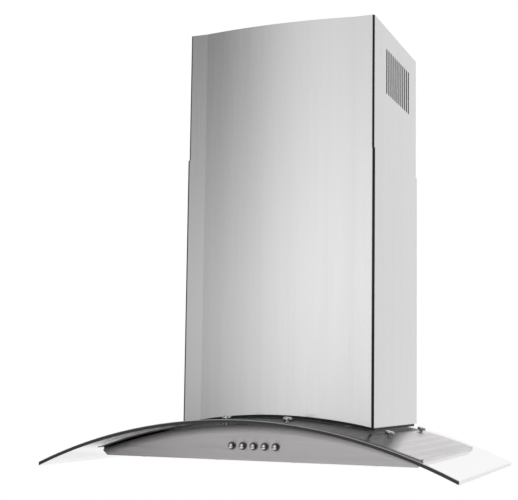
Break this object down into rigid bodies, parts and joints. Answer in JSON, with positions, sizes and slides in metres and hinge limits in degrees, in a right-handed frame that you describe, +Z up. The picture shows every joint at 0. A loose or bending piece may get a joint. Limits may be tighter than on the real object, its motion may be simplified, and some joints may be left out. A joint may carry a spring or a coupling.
{
  "type": "curved glass range hood",
  "caption": "Wall-mounted range hood with an arched glass canopy, telescoping steel chimney with vent slots, push buttons, blower and grease filters.",
  "frame": {"origin": "on the wall plane, at the middle of the lower rear edge of the canopy body", "axes": "+Z up along the chimney, +Y into the wall, +X to the right as seen from the room"},
  "size_m": [0.75, 0.5, 0.8171],
  "materials": {
    "clear_glass": "clear tempered glass with ground edges",
    "brushed_steel": "fine brushed, grain along the sheet",
    "panel_steel": "satin, grain across",
    "chrome": "polished",
    "zinc_steel": "galvanised sheet",
    "screw_steel": "zinc plated",
    "black_rubber": "matte",
    "black_plastic": "moulded",
    "grey_plastic": "moulded",
    "motor_paint": "satin paint",
    "aluminium": "mill finish",
    "capacitor_white": "gloss",
    "lamp_lens": "frosted"
  },
  "bodies": {
    "canopy": {"blower_housing_left": "grey_plastic", "blower_housing_right": "grey_plastic", "blower_screws": "screw_steel", "button_bezels": "chrome", "button_springs": "screw_steel", "cable_gland": "black_plastic", "canopy_pan": "panel_steel", "canopy_top_plate": "brushed_steel", "capacitor": "capacitor_white", "chimney_lower_cover": "brushed_steel", "chimney_seal": "black_rubber", "collar_rivets": "aluminium", "cover_brackets": "zinc_steel", "cover_screws": "screw_steel", "damper_pins": "screw_steel", "filter_clips": "screw_steel", "front_panel": "panel_steel", "glass_canopy": "clear_glass", "glass_nuts": "screw_steel", "glass_screws": "chrome", "glass_washers": "black_rubber", "lamp_housings": "zinc_steel", "lamp_lenses": "lamp_lens", "lamp_rings": "chrome", "motor": "motor_paint", "motor_box": "zinc_steel", "motor_box_foot": "zinc_steel", "motor_box_screws": "screw_steel", "motor_bracket": "zinc_steel", "outlet_collar": "zinc_steel", "panel_screws": "screw_steel", "switch_block": "black_plastic", "terminal_box": "black_plastic"},
    "upper_chimney": {"chimney_upper_cover": "brushed_steel", "upper_wall_bracket": "zinc_steel", "bracket_screws": "screw_steel"},
    "push_off": {"button_off": "chrome"},
    "push_light": {"button_light": "chrome"},
    "push_low": {"button_low": "chrome"},
    "push_medium": {"button_medium": "chrome"},
    "push_high": {"button_high": "chrome"},
    "fan": {"fan_wheel": "black_plastic", "motor_shaft": "screw_steel"},
    "flap_front": {"damper_flap_front": "aluminium"},
    "flap_rear": {"damper_flap_rear": "aluminium"},
    "filter_left": {"filter_frame_left": "aluminium", "filter_mesh_left": "aluminium", "filter_handle_left": "screw_steel"},
    "filter_right": {"filter_frame_right": "aluminium", "filter_mesh_right": "aluminium", "filter_handle_right": "screw_steel"}
  },
  "joints": [
    {"name": "chimney_extension", "type": "slide", "parent": "canopy", "child": "upper_chimney", "axis": [0, 0, 1], "range_m": [-0.2, 0.18]},
    {"name": "press_off", "type": "slide", "parent": "canopy", "child": "push_off", "axis": [0, 1, 0], "range_m": [0, 0.004], "stiffness_N_per_m": 350, "springref_m": -0.002, "deforming": ["button_springs"]},
    {"name": "press_light", "type": "slide", "parent": "canopy", "child": "push_light", "axis": [0, 1, 0], "range_m": [0, 0.004], "stiffness_N_per_m": 350, "springref_m": -0.002, "deforming": ["button_springs"]},
    {"name": "press_low", "type": "slide", "parent": "canopy", "child": "push_low", "axis": [0, 1, 0], "range_m": [0, 0.004], "stiffness_N_per_m": 350, "springref_m": -0.002, "deforming": ["button_springs"]},
    {"name": "press_medium", "type": "slide", "parent": "canopy", "child": "push_medium", "axis": [0, 1, 0], "range_m": [0, 0.004], "stiffness_N_per_m": 350, "springref_m": -0.002, "deforming": ["button_springs"]},
    {"name": "press_high", "type": "slide", "parent": "canopy", "child": "push_high", "axis": [0, 1, 0], "range_m": [0, 0.004], "stiffness_N_per_m": 350, "springref_m": -0.002, "deforming": ["button_springs"]},
    {"name": "fan_spin", "type": "hinge", "parent": "canopy", "child": "fan", "pos_m": [0, -0.15, 0.18501], "axis": [1, 0, 0], "continuous": true},
    {"name": "flap_front_swing", "type": "hinge", "parent": "canopy", "child": "flap_front", "pos_m": [0, -0.094, 0.32001], "axis": [-1, 0, 0], "range_deg": [0, 80]},
    {"name": "flap_rear_swing", "type": "hinge", "parent": "canopy", "child": "flap_rear", "pos_m": [0, -0.086, 0.32001], "axis": [1, 0, 0], "range_deg": [0, 80]},
    {"name": "filter_left_swing", "type": "hinge", "parent": "canopy", "child": "filter_left", "pos_m": [-0.13, -0.04, 0.0015], "axis": [1, 0, 0], "range_deg": [0, 75]},
    {"name": "filter_right_swing", "type": "hinge", "parent": "canopy", "child": "filter_right", "pos_m": [0.13, -0.04, 0.0015], "axis": [1, 0, 0], "range_deg": [0, 75]}
  ]
}
